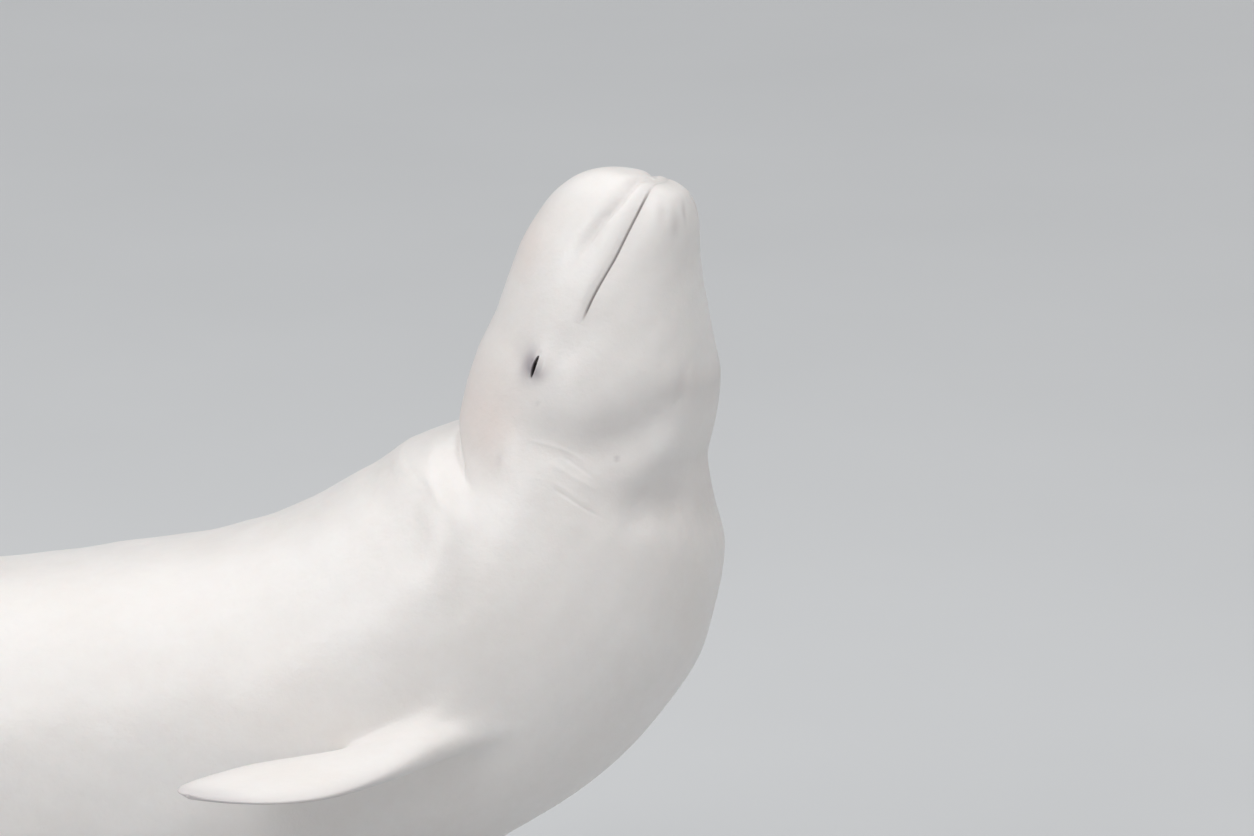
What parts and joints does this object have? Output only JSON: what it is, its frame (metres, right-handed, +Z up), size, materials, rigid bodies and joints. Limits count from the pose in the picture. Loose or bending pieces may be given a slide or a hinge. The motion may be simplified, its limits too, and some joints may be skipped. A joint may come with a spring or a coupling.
{
  "type": "beluga whale figure",
  "caption": "Life-size still model of an adult white beluga whale raising its head, held over a flat base on two short rods.",
  "frame": {"origin": "centre of the underside of the display stand's base, on the floor", "axes": "+Z up, +X the way the whale faces and swims, the whale's right side towards -Y"},
  "size_m": [3.2822, 1.3426, 1.7171],
  "materials": {
    "skin": "satin",
    "eye": "gloss",
    "stand_base": "painted, satin",
    "stand_steel": "brushed"
  },
  "bodies": {
    "root": {"head": "skin", "lower_jaw": "skin", "neck": "skin", "chest": "skin", "abdomen": "skin", "tail_stock": "skin", "fluke_left": "skin", "fluke_right": "skin", "flipper_left": "skin", "flipper_right": "skin", "dorsal_ridge": "skin", "eye_left": "eye", "eye_right": "eye", "stand_base": "stand_base", "stand_flange_front": "stand_steel", "stand_flange_rear": "stand_steel", "stand_rod_front": "stand_steel", "stand_rod_rear": "stand_steel"}
  },
  "joints": []
}
